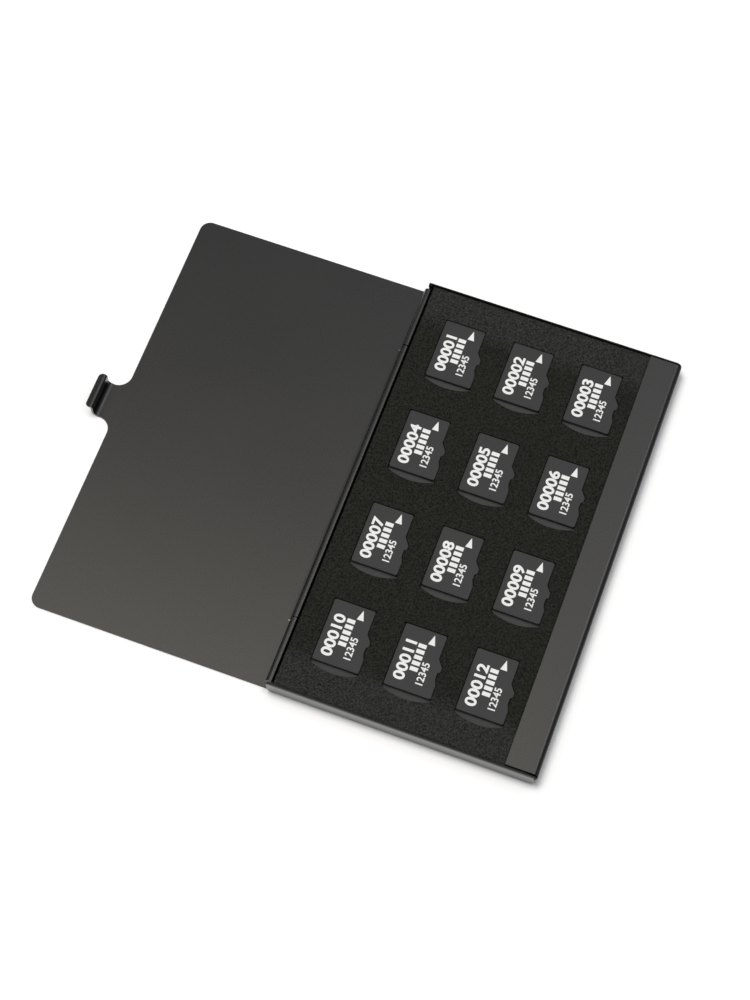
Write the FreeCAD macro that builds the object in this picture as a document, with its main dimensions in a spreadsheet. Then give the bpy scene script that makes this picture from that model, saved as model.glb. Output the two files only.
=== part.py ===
"""Slim folding case of sheet aluminium that holds twelve small memory cards in die-cut foam.

The case lies open on a table: the tray stands with its underside on z = 0, the lid is turned
back by half a turn and lies flat beside it. X runs from the hinge to the folded front lip,
Y runs along the hinge and Z points up. The origin is the middle of the tray's underside.
"""
import FreeCAD, Part
import math
import os
import Sketcher

# Driving dimensions in millimetres, kept in the sheet under these names
SIZES = {
    # tray folded from one sheet
    "case_length": 106.0,
    "case_width": 63.0,
    "tray_height": 5.4,
    "sheet_thickness": 0.5,
    "fold_radius": 1.3,
    "foot_radius": 2.2,
    "end_bend_radius": 0.8,
    "lip_width": 7.5,
    "lip_slit": 0.35,
    "end_wall_drop": 0.25,
    "end_wall_reach": 0.3,
    "end_wall_corner": 0.8,
    "end_wall_foot": 2.1,
    # rolled hinge
    "pin_radius": 0.4,
    "pin_fit": 0.03,
    "pin_inset": 0.1,
    "pin_chamfer": 0.1,
    "knuckle_bend_radius": 2.8,
    "roll_seam": 0.2,
    "lid_knuckle_length": 71.5,
    "knuckle_gap": 0.3,
    "end_knuckle_gap": 0.7,
    "floor_edge_gap": 0.3,
    "floor_edge_offset": 0.62,
    "knuckle_slit": 0.15,
    # lid with its clasp tongue
    "lid_gap": 0.1,
    "lid_end_inset": 0.45,
    "lid_corner_radius": 2.5,
    "lid_tuck": 0.8,
    "lid_edge_round": 0.12,
    "clasp_width": 8.9,
    "clasp_clearance": 0.16,
    "clasp_bend_radius": 1.2,
    "clasp_fillet": 3.2,
    "clasp_neck": 0.1,
    "clasp_height": 4.4,
    "clasp_lip_radius": 0.65,
    "clasp_lip_length": 1.1,
    "clasp_lip_corner": 0.95,
    # foam in two layers on an adhesive film
    "foam_hinge_gap": 0.5,
    "foam_wall_gap": 0.15,
    "foam_foot_gap": 0.1,
    "adhesive_thickness": 0.1,
    "adhesive_inset": 0.5,
    "bed_thickness": 2.9,
    "insert_thickness": 1.2,
    "pocket_clearance": 0.35,
    "pocket_near_clearance": 0.75,
    "pocket_notch_depth": 1.1,
    "pocket_notch_inset": 0.3,
    "pocket_hinge_margin": 5.4,
    "pocket_lip_margin": 3.25,
    "pocket_far_margin": 7.25,
    "pocket_near_margin": 8.5,
    # memory card
    "card_length": 15.0,
    "card_width": 11.0,
    "card_neck_width": 9.7,
    "card_body_thickness": 0.7,
    "card_ridge_height": 0.3,
    "card_ridge_length": 2.2,
    "card_corner_radius": 0.5,
    "card_edge_chamfer": 0.1,
    "card_flare_start": 3.4,
    "card_latch_depth": 0.55,
    "card_latch_low": 4.8,
    "card_latch_end": 6.2,
    "card_latch_high": 6.7,
    "card_shoulder": 7.7,
    "card_shoulder_rise": 1.8,
    "card_seat_gap": 0.02,
    # contact pads under each card
    "contact_pitch": 1.1,
    "contact_width": 0.8,
    "contact_length": 2.9,
    "contact_inset": 0.6,
    "contact_recess": 0.06,
    "contact_thickness": 0.05,
    "contact_fit": 0.02,
    # every cut runs past the faces that it opens by this much
    "cut_overrun": 1.0,
}

# run and drop of the clasp's lip for each unit of its length
CLASP_LIP_SHARES = (0.96, 0.28)

CARD_COLUMNS = 3
CARD_ROWS = 4
CONTACT_COUNT = 8


class Size:
    """A length that knows its value and the formula that ties it to the sheet."""

    def __init__(self, formula, value):
        self.formula = formula
        self.value = value

    def _with(self, sign, other, swap=False):
        other = other if isinstance(other, Size) else Size(repr(other), other)
        left, right = (other, self) if swap else (self, other)
        value = {
            "+": lambda a, b: a + b,
            "-": lambda a, b: a - b,
            "*": lambda a, b: a * b,
            "/": lambda a, b: a / b,
        }[sign](left.value, right.value)
        return Size(f"({left.formula} {sign} {right.formula})", value)

    def __add__(self, other):
        return self._with("+", other)

    def __sub__(self, other):
        return self._with("-", other)

    def __mul__(self, other):
        return self._with("*", other)

    def __rmul__(self, other):
        return self._with("*", other, swap=True)

    def __truediv__(self, other):
        return self._with("/", other)

    def __neg__(self):
        return self * -1


document = FreeCAD.newDocument("memory_card_case")
sheet = document.addObject("Spreadsheet::Sheet", "Sizes")
for row, (name, value) in enumerate(SIZES.items(), start=1):
    sheet.set(f"A{row}", name)
    sheet.set(f"B{row}", str(value))
    sheet.setAlias(f"B{row}", name)
document.recompute()


def size(name):
    """Gives the named cell of the sheet as a Size."""
    return Size(f"Sizes.{name}", float(sheet.get(name)))


# Sizes that several pieces share, worked out from the sheet
sheet_t = size("sheet_thickness")
overrun = size("cut_overrun")
half_length = size("case_length") / 2
front_x = size("case_width") / 2
lip_edge_x = front_x - size("lip_width")
tray_top = size("tray_height")

bore_radius = size("pin_radius") + size("pin_fit")
knuckle_radius = bore_radius + sheet_t
hinge_x = knuckle_radius - front_x
hinge_z = (tray_top + size("lid_gap") + sheet_t) / 2
bend_radius = size("knuckle_bend_radius")
lid_knuckle_half = size("lid_knuckle_length") / 2
tray_knuckle_start = lid_knuckle_half + size("knuckle_gap")
tray_knuckle_end = half_length - sheet_t - size("end_knuckle_gap")

foam_back_x = hinge_x + knuckle_radius + size("foam_hinge_gap")
foam_front_x = front_x - size("foot_radius") - size("foam_foot_gap")
foam_half_length = half_length - sheet_t - size("foam_wall_gap")
bed_bottom = sheet_t + size("adhesive_thickness")
bed_top = bed_bottom + size("bed_thickness")

card_half_width = size("card_width") / 2
card_half_length = size("card_length") / 2
first_column_x = foam_back_x + size("pocket_hinge_margin") + card_half_width
last_column_x = lip_edge_x - size("pocket_lip_margin") - card_half_width
far_row_y = foam_half_length - size("pocket_far_margin") - card_half_length
near_row_y = size("pocket_near_margin") + card_half_length - foam_half_length
column_pitch = (last_column_x - first_column_x) / (CARD_COLUMNS - 1)
row_pitch = (far_row_y - near_row_y) / (CARD_ROWS - 1)
neck_step = size("card_width") - size("card_neck_width")
contact_row = size("contact_pitch") * (CONTACT_COUNT - 1)
contact_middle_x = neck_step / -2
contact_end_y = card_half_length - size("contact_inset")


def new_body(label):
    """Starts a sub-part whose label names its file."""
    body = document.addObject("PartDesign::Body", label)
    body.Label = label
    return body


def origin_feature(body, role):
    """Finds one of the body's own origin planes or axes."""
    return [item for item in body.Origin.OriginFeatures if item.Role == role][0]


def number(place):
    """Gives the value of a Size, or of a plain zero."""
    return place.value if isinstance(place, Size) else place


def vector(corner):
    return FreeCAD.Vector(number(corner[0]), number(corner[1]), 0)


def bind(sketch, index, length):
    sketch.setExpression(f"Constraints[{index}]", length.formula)


def hold(sketch, element, end, corner):
    """Ties a point of a sketch to its two formulas, or to an axis where the place is zero."""
    for kind, axis, place in (("DistanceX", -2, corner[0]), ("DistanceY", -1, corner[1])):
        if isinstance(place, Size):
            held = Sketcher.Constraint(kind, element, end, place.value)
            bind(sketch, sketch.addConstraint(held), place)
        else:
            sketch.addConstraint(Sketcher.Constraint("PointOnObject", element, end, axis))


def round_stretch(start, end, turn):
    """Makes the arc of under half a circle from start to end; a positive radius turns left."""
    chord = end - start
    radius = abs(turn)
    rise = math.sqrt(max(radius ** 2 - (chord.Length / 2) ** 2, 0))
    left = FreeCAD.Vector(-chord.y, chord.x, 0).normalize()
    centre = (start + end) / 2 + left * math.copysign(rise, turn)
    first, last = (start, end) if turn > 0 else (end, start)
    angles = [math.atan2(p.y - centre.y, p.x - centre.x) for p in (first, last)]
    circle = Part.Circle(centre, FreeCAD.Vector(0, 0, 1), radius)
    return Part.ArcOfCircle(circle, angles[0], angles[1])


def add_outline(sketch, corners):
    """Draws one closed outline. A corner is (u, v), or (u, v, radius) where an arc leads on."""
    count = len(corners)
    ends = []
    for index, corner in enumerate(corners):
        start = vector(corner)
        end = vector(corners[(index + 1) % count])
        if len(corner) == 3:
            element = sketch.addGeometry(round_stretch(start, end, corner[2].value), False)
            ends.append((element, (1, 2) if corner[2].value > 0 else (2, 1)))
        else:
            element = sketch.addGeometry(Part.LineSegment(start, end), False)
            ends.append((element, (1, 2)))
    for index, corner in enumerate(corners):
        element, (first, last) = ends[index]
        following, (next_first, _) = ends[(index + 1) % count]
        joint = Sketcher.Constraint("Coincident", element, last, following, next_first)
        sketch.addConstraint(joint)
        hold(sketch, element, first, corner)
        if len(corner) == 3:
            radius = corner[2] if corner[2].value > 0 else -corner[2]
            arc = Sketcher.Constraint("Radius", element, radius.value)
            bind(sketch, sketch.addConstraint(arc), radius)


def new_sketch(body, plane, label, level=None):
    """Starts a sketch on one of the body's origin planes, raised to a level if one is given."""
    sketch = body.newObject("Sketcher::SketchObject", f"{body.Label}_{label}")
    sketch.AttachmentSupport = [(origin_feature(body, plane), "")]
    sketch.MapMode = "FlatFace"
    if level is not None:
        sketch.setExpression("AttachmentOffset.Base.z", level.formula)
    return sketch


def outline(body, plane, label, loops, level=None):
    sketch = new_sketch(body, plane, label, level)
    for corners in loops:
        add_outline(sketch, corners)
    return sketch


def disc(body, plane, label, centre, radius):
    """Draws one circle whose centre and radius are tied to the sheet."""
    sketch = new_sketch(body, plane, label)
    circle = Part.Circle(vector(centre), FreeCAD.Vector(0, 0, 1), radius.value)
    element = sketch.addGeometry(circle, False)
    hold(sketch, element, 3, centre)
    arc = Sketcher.Constraint("Radius", element, radius.value)
    bind(sketch, sketch.addConstraint(arc), radius)
    return sketch


def feature(body, kind, label, sketch, length, symmetric=False):
    """Pads or pockets a sketch and stops if that leaves the solid as it was."""
    before = body.Shape.Volume if body.Tip else 0
    made = body.newObject(f"PartDesign::{kind}", f"{body.Label}_{label}")
    made.Profile = sketch
    made.setExpression("Length", length.formula)
    if symmetric:
        made.SideType = "Symmetric"
    elif kind == "Pocket":
        made.Reversed = True
    document.recompute()
    if body.Shape.Volume == before or not body.Shape.isValid():
        raise RuntimeError(f"{made.Label} changes nothing or breaks the solid")
    return made


def pad(body, label, sketch, length, symmetric=False):
    return feature(body, "Pad", label, sketch, length, symmetric)


def pocket(body, label, sketch, length, symmetric=False):
    return feature(body, "Pocket", label, sketch, length, symmetric)


def soften(body, kind, label, edges, amount):
    """Rounds or bevels the named edges of the body's last feature."""
    made = body.newObject(f"PartDesign::{kind}", f"{body.Label}_{label}")
    made.Base = (body_last_solid(body, made), edges)
    made.setExpression("Radius" if kind == "Fillet" else "Size", amount.formula)
    document.recompute()
    if not edges or not body.Shape.isValid():
        raise RuntimeError(f"{made.Label} finds no edge or breaks the solid")
    return made


def body_last_solid(body, newest):
    """Gives the solid feature that stood at the end of the body before the newest one."""
    solids = [item for item in body.Group if item.isDerivedFrom("PartDesign::Feature")]
    return [item for item in solids if item is not newest][-1]


def edges_at(body, test):
    """Names the edges of the body's last feature whose middle and length pass the test."""
    edges = enumerate(body.Tip.Shape.Edges, start=1)
    return [f"Edge{index}" for index, edge in edges if test(edge.BoundBox)]


def near(first, second):
    return math.isclose(number(first), number(second), abs_tol=Part.Precision.confusion() * 10)


def rectangle(low_u, low_v, high_u, high_v):
    return [(low_u, low_v), (high_u, low_v), (high_u, high_v), (low_u, high_v)]


def knuckle(body, side, floor_x, reach):
    """Rolls a sheet's hinge edge: a bend up from the floor, an upright and a barrel on the pin.

    side is 1 where the sheet comes from +X and rises behind the pin, and -1 for its mirror.
    """
    back = hinge_x - knuckle_radius * side
    bend_x = back + bend_radius * side
    inner_x = back + sheet_t * side
    inner_bend = (bend_radius - sheet_t) * side
    section = [
        (floor_x, 0),
        (bend_x, 0, -bend_radius * side),
        (back, bend_radius),
        (back, hinge_z),
        (inner_x, hinge_z),
        (inner_x, bend_radius, inner_bend),
        (bend_x, sheet_t),
        (floor_x, sheet_t),
    ]
    sketch = outline(body, "XZ_Plane", "hinge_edge", [section])
    pad(body, "hinge_bend", sketch, reach * 2, symmetric=True)
    barrel = disc(body, "XZ_Plane", "barrel_outline", (hinge_x, hinge_z), knuckle_radius)
    pad(body, "barrel", barrel, reach * 2, symmetric=True)
    bore = disc(body, "XZ_Plane", "bore_outline", (hinge_x, hinge_z), bore_radius)
    pocket(body, "bore", bore, (reach + overrun) * 2, symmetric=True)

    # the rolled edge ends under the pin and leaves a seam there
    half_seam = size("roll_seam") / 2
    seam_z = hinge_z - knuckle_radius - half_seam
    seam = rectangle(hinge_x - half_seam, seam_z, hinge_x + half_seam, hinge_z)
    sketch = outline(body, "XZ_Plane", "seam_outline", [seam])
    pocket(body, "seam", sketch, (reach + overrun) * 2, symmetric=True)


def make_tray():
    """Folds the tray: floor, end walls, rounded front, inward lip and two end knuckles."""
    body = new_body("base_tray")
    foot = size("foot_radius")
    fold = size("fold_radius")
    fold_z = tray_top - fold
    wall_back_x = hinge_x - size("end_wall_reach")
    block = [
        (wall_back_x, 0),
        (front_x - foot, 0, foot),
        (front_x, foot),
        (front_x, fold_z, fold),
        (front_x - fold, tray_top),
        (wall_back_x, tray_top),
    ]
    sketch = outline(body, "XZ_Plane", "block_outline", [block])
    pad(body, "block", sketch, half_length * 2, symmetric=True)

    # end walls bend up from the floor and round into the front
    def end_edge(box):
        return near(box.ZMax, 0) and near(box.YLength, 0)

    soften(body, "Fillet", "end_bends", edges_at(body, end_edge), size("end_bend_radius"))

    # room between the end walls, with a front wall as high as the fold's start
    open_x = wall_back_x - overrun
    open_z = tray_top + overrun
    inner_y = half_length - sheet_t
    room = [
        (open_x, sheet_t),
        (front_x - foot, sheet_t, foot - sheet_t),
        (front_x - sheet_t, foot),
        (front_x - sheet_t, fold_z),
        (front_x + overrun, fold_z),
        (front_x + overrun, open_z),
        (open_x, open_z),
    ]
    sketch = outline(body, "XZ_Plane", "room_outline", [room])
    pocket(body, "room", sketch, inner_y * 2, symmetric=True)

    # end walls stay a little lower than the lip and lose their corners by the hinge
    wall_top = tray_top - size("end_wall_drop")
    corner = size("end_wall_corner")
    trim = [
        (front_x + overrun, wall_top),
        (front_x + overrun, open_z),
        (open_x, open_z),
        (open_x, wall_top - corner),
        (wall_back_x, wall_top - corner, -corner),
        (wall_back_x + corner, wall_top),
    ]
    foot_corner = size("end_wall_foot")
    lift = [
        (wall_back_x + foot_corner, 0, -foot_corner),
        (wall_back_x, foot_corner),
        (open_x, foot_corner),
        (open_x, -overrun),
        (wall_back_x + foot_corner, -overrun),
    ]
    sketch = outline(body, "XZ_Plane", "trim_outline", [trim, lift])
    pocket(body, "wall_trim", sketch, (half_length + overrun) * 2, symmetric=True)

    # front fold and inward lip, parted from the end walls by a slit
    lip = [
        (front_x, fold_z, fold),
        (front_x - fold, tray_top),
        (lip_edge_x, tray_top),
        (lip_edge_x, tray_top - sheet_t),
        (front_x - fold, tray_top - sheet_t, sheet_t - fold),
        (front_x - sheet_t, fold_z),
    ]
    sketch = outline(body, "XZ_Plane", "lip_outline", [lip])
    pad(body, "lip", sketch, (inner_y - size("lip_slit")) * 2, symmetric=True)

    # the floor stops where the hinge edge bends up; it reaches under the lid's knuckle
    bend_x = hinge_x - knuckle_radius + bend_radius
    edge = rectangle(open_x, -overrun, bend_x, sheet_t + overrun)
    sketch = outline(body, "XZ_Plane", "floor_edge_outline", [edge])
    pocket(body, "floor_edge", sketch, (tray_knuckle_end + size("knuckle_slit")) * 2, symmetric=True)
    knuckle(body, 1, bend_x + bend_radius, tray_knuckle_end)
    behind_x = hinge_x - knuckle_radius - overrun
    floor_x = hinge_x + size("floor_edge_offset")
    clear_x = hinge_x + knuckle_radius + size("floor_edge_gap")
    clear_z = bend_radius / 2
    gap = [
        (behind_x, -overrun),
        (floor_x, -overrun),
        (floor_x, clear_z),
        (clear_x, clear_z),
        (clear_x, open_z),
        (behind_x, open_z),
    ]
    sketch = outline(body, "XZ_Plane", "knuckle_gap_outline", [gap])
    pocket(body, "knuckle_gap", sketch, tray_knuckle_start * 2, symmetric=True)
    return body


def make_lid():
    """Cuts the lid panel, rolls its long knuckle and bends up the clasp tongue."""
    body = new_body("lid")
    half = half_length - size("lid_end_inset")
    corner = size("lid_corner_radius")
    clasp = size("clasp_width") / 2
    fillet = size("clasp_fillet")
    tongue_x = hinge_x - (front_x - hinge_x) - size("clasp_clearance")
    tongue_bend = size("clasp_bend_radius")
    bend_x = tongue_x + tongue_bend
    free_x = bend_x + size("clasp_neck") + fillet
    hinge_edge_x = hinge_x - knuckle_radius + size("lid_tuck")
    knuckle_bend_x = hinge_x + knuckle_radius - bend_radius
    panel = [
        (hinge_edge_x, half),
        (free_x + corner, half, corner),
        (free_x, half - corner),
        (free_x, clasp + fillet, -fillet),
        (free_x - fillet, clasp),
        (bend_x, clasp),
        (bend_x, -clasp),
        (free_x - fillet, -clasp, -fillet),
        (free_x, -clasp - fillet),
        (free_x, corner - half, corner),
        (free_x + corner, -half),
        (hinge_edge_x, -half),
        (hinge_edge_x, -tray_knuckle_start),
        (knuckle_bend_x, -tray_knuckle_start),
        (knuckle_bend_x, tray_knuckle_start),
        (hinge_edge_x, tray_knuckle_start),
    ]
    sketch = outline(body, "XY_Plane", "panel_outline", [panel])
    pad(body, "panel", sketch, sheet_t)

    # the sheet's free edges are tumbled, all but those by the hinge and under the tongue
    def free_edge(box):
        outer = box.XMin < knuckle_bend_x.value - Part.Precision.confusion()
        return outer and near(box.ZLength, 0) and not near(box.YLength, clasp * 2)

    soften(body, "Fillet", "free_edges", edges_at(body, free_edge), size("lid_edge_round"))
    knuckle(body, -1, knuckle_bend_x - bend_radius, lid_knuckle_half)

    # tongue: a bend up, an upright that clears the tray's front, and a lip that turns out and down
    lip = size("clasp_lip_radius")
    inner_lip = lip - sheet_t
    lip_z = size("clasp_height") - lip
    run, drop = CLASP_LIP_SHARES
    reach = size("clasp_lip_length")
    upper = (tongue_x - lip - lip * drop, lip_z + lip * run)
    lower = (tongue_x - lip - inner_lip * drop, lip_z + inner_lip * run)
    tip_upper = (upper[0] - reach * run, upper[1] - reach * drop)
    tip_lower = (lower[0] - reach * run, lower[1] - reach * drop)
    tongue = [
        (bend_x, 0, -(tongue_bend + sheet_t)),
        (tongue_x - sheet_t, tongue_bend + sheet_t),
        (tongue_x - sheet_t, lip_z, inner_lip),
        lower,
        tip_lower,
        tip_upper,
        (*upper, -lip),
        (tongue_x, lip_z),
        (tongue_x, tongue_bend + sheet_t, tongue_bend),
        (bend_x, sheet_t),
    ]
    sketch = outline(body, "XZ_Plane", "tongue_outline", [tongue])
    pad(body, "tongue", sketch, clasp * 2, symmetric=True)

    def tip_edge(box):
        return near(box.XMax, tip_lower[0]) and near(box.YLength, 0)

    soften(body, "Fillet", "tongue_corners", edges_at(body, tip_edge), size("clasp_lip_corner"))
    return body


def make_pin():
    """Turns the hinge pin that runs through all three knuckles."""
    body = new_body("hinge_pin")
    half = tray_knuckle_end - size("pin_inset")
    sketch = disc(body, "XZ_Plane", "pin_outline", (hinge_x, hinge_z), size("pin_radius"))
    pad(body, "pin", sketch, half * 2, symmetric=True)

    def end_edge(box):
        return near(box.YLength, 0)

    soften(body, "Chamfer", "pin_ends", edges_at(body, end_edge), size("pin_chamfer"))
    return body


def make_layer(label, bottom, thickness, inset=0):
    """Cuts one flat layer of the tray's filling, smaller all round where an inset is given."""
    body = new_body(label)
    half = foam_half_length - inset
    field = rectangle(foam_back_x + inset, -half, foam_front_x - inset, half)
    sketch = outline(body, "XY_Plane", "field_outline", [field], bottom)
    pad(body, "layer", sketch, thickness)
    return body


def pocket_outline(middle_x, middle_y):
    """Follows the card's outline with clearance all round and a finger notch at its near end."""
    clear = size("pocket_clearance")
    left = middle_x - card_half_width - clear
    right = middle_x + card_half_width + clear
    low = middle_y - card_half_length - size("pocket_near_clearance")
    high = middle_y + card_half_length + clear
    inset = size("pocket_notch_inset")
    depth = size("pocket_notch_depth")
    half_chord = card_half_width + clear - inset
    notch_radius = (half_chord * half_chord + depth * depth) / (depth * 2)
    shoulder = middle_y - card_half_length + size("card_shoulder")
    return [
        (left, low),
        (left + inset, low, notch_radius),
        (right - inset, low),
        (right, low),
        (right, shoulder),
        (right - neck_step, shoulder + size("card_shoulder_rise")),
        (right - neck_step, high),
        (left, high),
    ]


def make_insert():
    """Die-cuts the upper foam layer with a grid of card pockets."""
    body = make_layer("foam_insert", bed_top, size("insert_thickness"))
    first_x, first_y = card_place(0, 0)
    sketch = outline(body, "XY_Plane", "pocket_outline", [pocket_outline(first_x, first_y)], bed_top)
    cut = pocket(body, "pocket", sketch, size("insert_thickness") + overrun)
    grid = body.newObject("PartDesign::LinearPattern", "foam_insert_pockets")
    grid.Originals = [cut]
    grid.Direction = (origin_feature(body, "X_Axis"), [""])
    grid.Mode = "Extent"
    grid.Occurrences = CARD_COLUMNS
    grid.setExpression("Length", (last_column_x - first_column_x).formula)
    grid.Direction2 = (origin_feature(body, "Y_Axis"), [""])
    grid.Mode2 = "Extent"
    grid.Reversed2 = True
    grid.Occurrences2 = CARD_ROWS
    grid.setExpression("Length2", (far_row_y - near_row_y).formula)
    body.Tip = grid
    document.recompute()
    return body


def card_place(column, line):
    """Gives the middle of a pocket; line 0 is the far row and column 0 the one by the hinge."""
    return first_column_x + column_pitch * column, far_row_y - row_pitch * line


def seat(body, column, line):
    """Places a card's body in its pocket, its ridge just above the foam bed."""
    place_x, place_y = card_place(column, line)
    level = bed_top + size("card_seat_gap")
    for axis, place in (("x", place_x), ("y", place_y), ("z", level)):
        body.setExpression(f"Placement.Base.{axis}", place.formula)


def contact_outline(grow):
    """Draws the first contact pad, or with a larger grow the recess that holds it."""
    half = size("contact_width") / 2 + grow
    middle = contact_middle_x - contact_row / 2
    low = contact_end_y - size("contact_length") - grow
    return rectangle(middle - half, low, middle + half, contact_end_y + grow)


def contact_pattern(body, label, original):
    """Repeats one contact along the card's narrow end."""
    row = body.newObject("PartDesign::LinearPattern", f"{body.Label}_{label}")
    row.Originals = [original]
    row.Direction = (origin_feature(body, "X_Axis"), [""])
    row.Mode = "Extent"
    row.Occurrences = CONTACT_COUNT
    row.setExpression("Length", contact_row.formula)
    body.Tip = row
    document.recompute()


def make_card(label, column, line):
    """Moulds one memory card: stepped outline, latch notch, rear ridge and contact recesses."""
    body = new_body(label)
    wide = card_half_width
    end = card_half_length
    corner = size("card_corner_radius")
    latch = size("card_latch_depth")
    flare = size("card_flare_start") - end
    low = size("card_latch_low") - end
    latch_end = size("card_latch_end") - end
    high = size("card_latch_high") - end
    shoulder = size("card_shoulder") - end
    neck = wide - neck_step
    ridge = size("card_ridge_height")
    profile = [
        (-wide, corner - end, corner),
        (corner - wide, -end),
        (wide - corner, -end, corner),
        (wide, corner - end),
        (wide, flare),
        (wide - latch, low),
        (wide - latch, latch_end),
        (wide, high),
        (wide, shoulder),
        (neck, shoulder + size("card_shoulder_rise")),
        (neck, end - corner, corner),
        (neck - corner, end),
        (corner - wide, end, corner),
        (-wide, end - corner),
    ]
    sketch = outline(body, "XY_Plane", "card_outline", [profile], ridge)
    pad(body, "card", sketch, size("card_body_thickness"))

    def label_edge(box):
        return near(box.ZMin, ridge + size("card_body_thickness"))

    soften(body, "Chamfer", "label_edges", edges_at(body, label_edge), size("card_edge_chamfer"))
    ridge_y = size("card_ridge_length") - end
    ridge_profile = rectangle(corner - wide, corner - end, wide - corner, ridge_y)
    sketch = outline(body, "XY_Plane", "ridge_outline", [ridge_profile])
    pad(body, "ridge", sketch, ridge)
    recess = outline(body, "XY_Plane", "recess_outline", [contact_outline(size("contact_fit"))], ridge)
    cut = pocket(body, "recess", recess, size("contact_recess"))
    contact_pattern(body, "recesses", cut)
    seat(body, column, line)
    return body


def make_contacts(label, column, line):
    """Lays the gilt contact pads into the recesses under one card."""
    body = new_body(label)
    level = size("card_ridge_height") + size("contact_recess") - size("contact_thickness")
    sketch = outline(body, "XY_Plane", "pad_outline", [contact_outline(size("contact_fit") * 0)], level)
    first = pad(body, "first_pad", sketch, size("contact_thickness"))
    contact_pattern(body, "pads", first)
    seat(body, column, line)
    return body


def make_cards():
    """Makes the cards and their contacts, counted along each row from the far hinge corner."""
    bodies = []
    for index in range(CARD_COLUMNS * CARD_ROWS):
        line, column = divmod(index, CARD_COLUMNS)
        bodies.append(make_card(f"card_{index + 1:02d}", column, line))
        bodies.append(make_contacts(f"card_contacts_{index + 1:02d}", column, line))
    return bodies


def make_all():
    adhesive = make_layer("foam_adhesive", sheet_t, size("adhesive_thickness"), size("adhesive_inset"))
    bed = make_layer("foam_bed", bed_bottom, size("bed_thickness"))
    case = [make_tray(), make_lid(), make_pin(), adhesive, bed, make_insert()]
    return case + make_cards()


def check_and_write(bodies):
    """Refuses a failed object or a broken shape, then writes one file for each sub-part."""
    document.recompute()
    for item in document.Objects:
        if {"Invalid", "Error"} & set(item.State):
            raise RuntimeError(f"{item.Label} failed: {item.State}")
    for body in bodies:
        if body.Shape.isNull() or not body.Shape.isValid():
            raise RuntimeError(f"{body.Label} has no valid shape")
    os.makedirs("parts", exist_ok=True)
    for body in bodies:
        body.Shape.exportStep(f"parts/{body.Label}.step")
        print(f"{body.Label}: {len(body.Shape.Solids)} solids, {body.Shape.Volume:.2f} mm3")


check_and_write(make_all())
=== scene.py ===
"""Looks of a slim folding memory card case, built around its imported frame.

The metal tray, lid, pin, cards and contacts keep their solids and get finishes. The two foam
layers are modelled here as soft pieces, and each card gets its printed marks.
"""
import math
from collections import namedtuple

import bmesh
import bpy
import numpy as np
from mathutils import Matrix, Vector


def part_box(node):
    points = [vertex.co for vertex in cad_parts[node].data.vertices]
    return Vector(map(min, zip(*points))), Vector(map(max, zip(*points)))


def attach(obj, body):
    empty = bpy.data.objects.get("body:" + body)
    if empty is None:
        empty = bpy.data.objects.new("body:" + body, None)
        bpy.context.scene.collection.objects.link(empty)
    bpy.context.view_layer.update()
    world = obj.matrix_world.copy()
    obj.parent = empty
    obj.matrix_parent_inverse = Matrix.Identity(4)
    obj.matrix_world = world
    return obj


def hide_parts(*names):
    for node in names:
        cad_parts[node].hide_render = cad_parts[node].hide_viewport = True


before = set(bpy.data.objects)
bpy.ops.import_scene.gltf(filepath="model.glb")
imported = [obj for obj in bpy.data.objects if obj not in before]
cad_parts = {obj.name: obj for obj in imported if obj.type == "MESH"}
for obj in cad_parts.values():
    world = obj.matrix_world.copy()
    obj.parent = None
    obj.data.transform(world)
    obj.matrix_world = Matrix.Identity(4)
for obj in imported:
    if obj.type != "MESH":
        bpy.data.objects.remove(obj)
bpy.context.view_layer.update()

bl_info = {
    "name": "Memory card case",
    "version": (1, 0, 0),
    "blender": (4, 5, 0),
    "location": "View3D > Sidebar > Card case",
    "description": "Finishes, foam, print and stage of a folding memory card case",
    "category": "Object",
}

MM = 0.001
CARD_NAMES = sorted(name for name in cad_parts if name.startswith("card_") and "contacts" not in name)
CARD_COLUMNS = 3

# Points that are nearer to each other than this are one
DOUBLED = 0.001 * MM

# How finely the foam is divided: points along a cell's two sides, rings of a cell, and the bed's grid
CELL_POINTS = (44, 60)
WALL_RINGS = 4
RIM_RINGS = 6
FACE_RINGS = 14
BED_POINTS = (118, 210)

# Unevenness of the foam: how many waves, their lengths over the mean, their peak, and a seed for each layer
WAVE_COUNT = 18
SHORTEST_WAVE = 0.6
WAVE_SPREAD = 1.8
WAVE_PEAK = 1.6
INSERT_SEED = 7
BED_SEED = 11

# Shares of the rim and the wave: a pocket wall's bulge, the bed's rounded edge and its lower waves
WALL_BULGE = 0.15
BED_EDGE = 2
BED_WAVE = 0.5

# Least divisor of a corner's mean normal, so that a sharp corner isn't pushed out too far
SHARPEST = 0.4

# The font's size over the height of its digits, and the steps in each of their curves
DIGIT_SIZE = 1.42
DIGIT_STEPS = 6

# Camera: height of its sensor in millimetres, and the nearest thing that it sees
SENSOR_HEIGHT = 24
NEAREST = 10 * MM


def length(name, text, default):
    """A length that the user can change, kept in metres."""
    return bpy.props.FloatProperty(name=name, description=text, default=default, unit="LENGTH", precision=6)


def share(name, text, default):
    """A plain number, mostly from 0 to 1."""
    return bpy.props.FloatProperty(name=name, description=text, default=default, subtype="FACTOR")


def tint(name, text, default):
    """A colour, in linear light."""
    return bpy.props.FloatVectorProperty(name=name, description=text, default=default, subtype="COLOR")


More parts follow.
